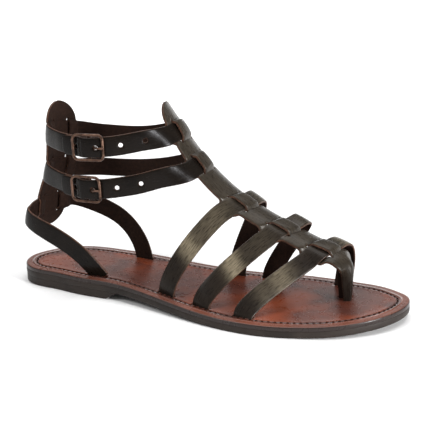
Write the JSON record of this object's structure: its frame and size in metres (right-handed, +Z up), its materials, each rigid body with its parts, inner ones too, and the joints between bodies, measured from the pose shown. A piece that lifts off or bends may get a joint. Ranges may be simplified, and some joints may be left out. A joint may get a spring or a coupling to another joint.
{
  "type": "flat strappy sandal",
  "caption": "Flat leather sandal for the right foot: leather sole with a low heel, instep strap with toe post, vamp straps, heel strap and buckled ankle straps.",
  "frame": {"origin": "on the floor, under the middle of the sandal's bounding box", "axes": "+X towards the toes, along the sole; +Y towards the inner side of the foot; +Z up"},
  "size_m": [0.25, 0.087, 0.1207],
  "materials": {
    "strap": "smooth dark brown leather, half gloss, with paler cut edges",
    "insole": "glossy red brown leather with a stitched channel near the edge",
    "sole": "dark brown layered sole edge, half matt",
    "buckle": "worn copper brown plating, half gloss"
  },
  "bodies": {
    "root": {"insole": "insole", "outsole": "sole", "heel_block": "sole", "instep_strap": "strap", "back_piece": "strap", "vamp_strap_rear": "strap", "vamp_strap_mid": "strap", "vamp_strap_front": "strap", "heel_strap": "strap", "ankle_strap_upper": "strap", "ankle_strap_lower": "strap", "buckle_upper": "buckle", "buckle_lower": "buckle"}
  },
  "joints": []
}
